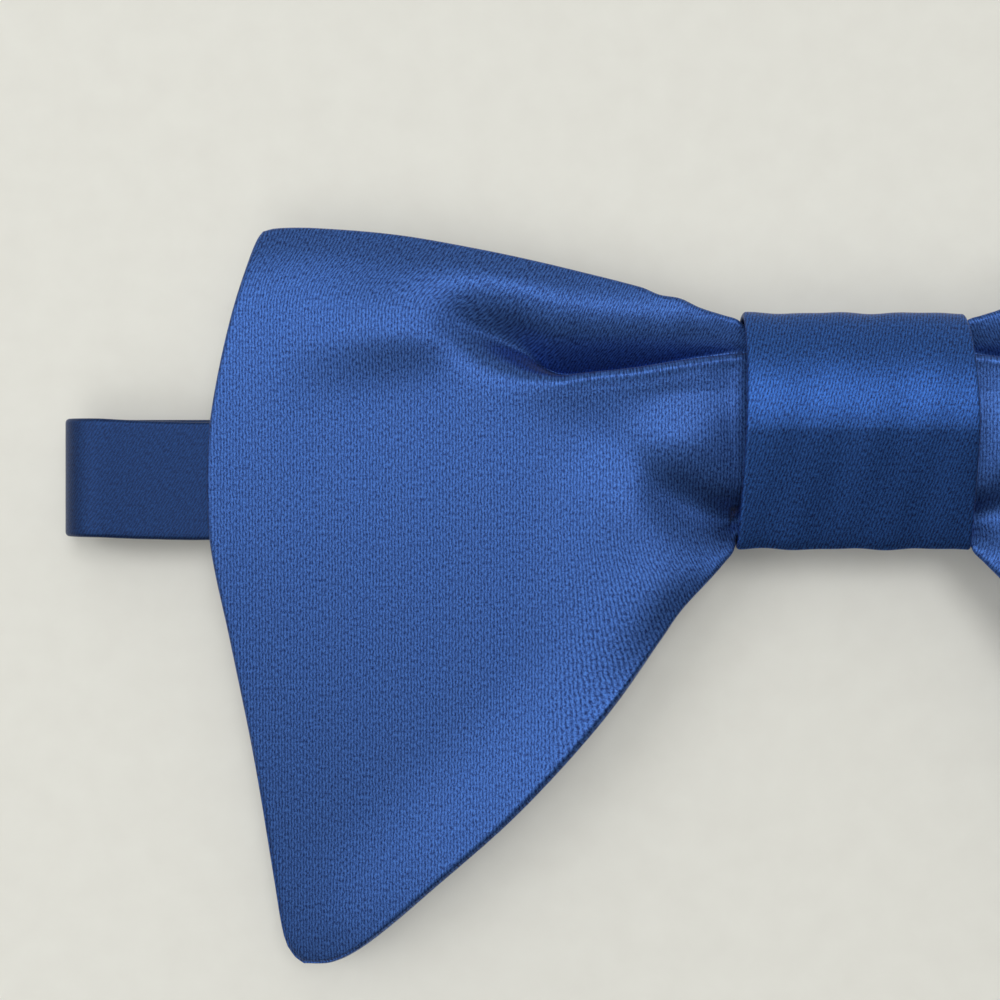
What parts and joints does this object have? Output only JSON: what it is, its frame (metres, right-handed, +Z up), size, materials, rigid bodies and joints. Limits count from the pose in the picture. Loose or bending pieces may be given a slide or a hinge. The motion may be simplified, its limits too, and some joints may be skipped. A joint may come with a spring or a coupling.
{
  "type": "pre-tied bow tie",
  "caption": "Large drooping satin bow tie, ready tied, with a wide centre wrap and a neck band closed by a plain metal clasp.",
  "frame": {"origin": "on the surface that the bow tie lies on, on the band's flat underside below the middle of the wrap", "axes": "+Z up out of the surface towards the bow's face, +Y towards the bow's upper edge, +X towards its right-hand wing seen from above"},
  "size_m": [0.2508, 0.1171, 0.019],
  "materials": {
    "satin": "royal blue warp-faced satin with a soft lustre",
    "clasp_metal": "plain brushed nickel-plated steel"
  },
  "bodies": {
    "root": {"left_wing": "satin", "right_wing": "satin", "knot_wrap": "satin", "neck_band": "satin", "band_clasp": "clasp_metal"}
  },
  "joints": []
}
